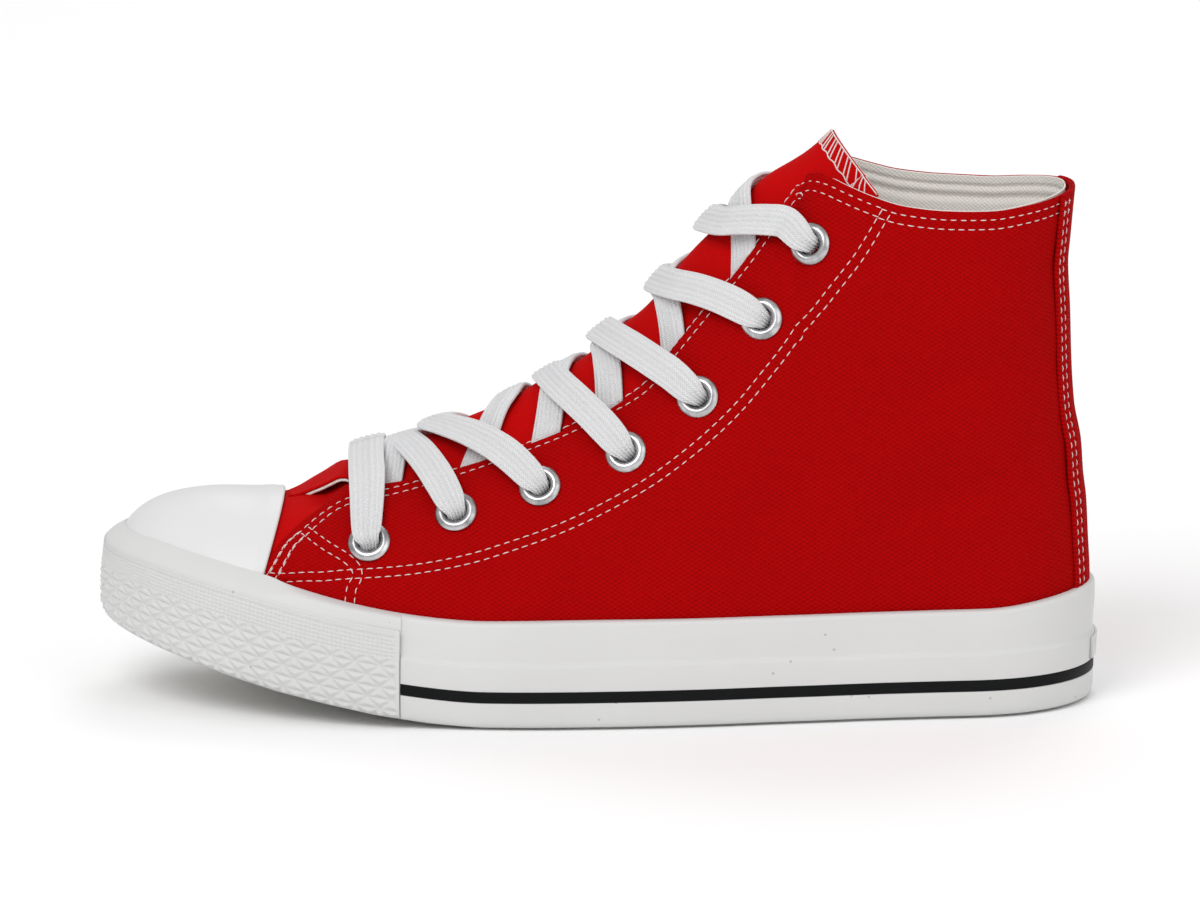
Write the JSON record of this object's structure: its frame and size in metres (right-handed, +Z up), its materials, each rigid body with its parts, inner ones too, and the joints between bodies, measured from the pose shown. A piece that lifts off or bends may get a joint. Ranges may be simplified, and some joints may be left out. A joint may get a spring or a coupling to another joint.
{
  "type": "canvas high-top sneaker",
  "caption": "Left high-top sneaker: red canvas upper laced up the front, white rubber toe cap and sidewall with a dark pinstripe, open at the collar.",
  "frame": {"origin": "under the middle of the shoe's bounding box, on the floor that the sole stands on", "axes": "+Z up, +X from toe to heel, so the toe points to -X and the outer side of the foot faces -Y"},
  "size_m": [0.2754, 0.0974, 0.1574],
  "materials": {
    "canvas": "matte plain-weave canvas",
    "lace": "matte flat woven cotton",
    "insole_fabric": "matte off-white cloth",
    "cap_rubber": "smooth satin",
    "sidewall_rubber": "satin",
    "stripe_rubber": "satin",
    "outsole_rubber": "matte moulded",
    "sole_rubber": "matte foam",
    "eyelet_metal": "polished pressed metal"
  },
  "bodies": {
    "root": {"outsole": "outsole_rubber", "midsole": "sole_rubber", "foxing": "sidewall_rubber", "pinstripe": "stripe_rubber", "toe_bumper": "sidewall_rubber", "heel_patch": "sidewall_rubber", "toe_cap": "cap_rubber", "upper": "canvas", "backstay": "canvas", "insole": "insole_fabric", "tongue": "canvas", "lace_bar": "lace", "eyelet_lateral_1": "eyelet_metal", "eyelet_lateral_2": "eyelet_metal", "eyelet_lateral_3": "eyelet_metal", "eyelet_lateral_4": "eyelet_metal", "eyelet_lateral_5": "eyelet_metal", "eyelet_lateral_6": "eyelet_metal", "eyelet_lateral_7": "eyelet_metal", "eyelet_medial_1": "eyelet_metal", "eyelet_medial_2": "eyelet_metal", "eyelet_medial_3": "eyelet_metal", "eyelet_medial_4": "eyelet_metal", "eyelet_medial_5": "eyelet_metal", "eyelet_medial_6": "eyelet_metal", "eyelet_medial_7": "eyelet_metal", "lace_cross_1": "lace", "lace_cross_2": "lace", "lace_cross_3": "lace", "lace_cross_4": "lace", "lace_cross_5": "lace", "lace_cross_6": "lace"}
  },
  "joints": []
}
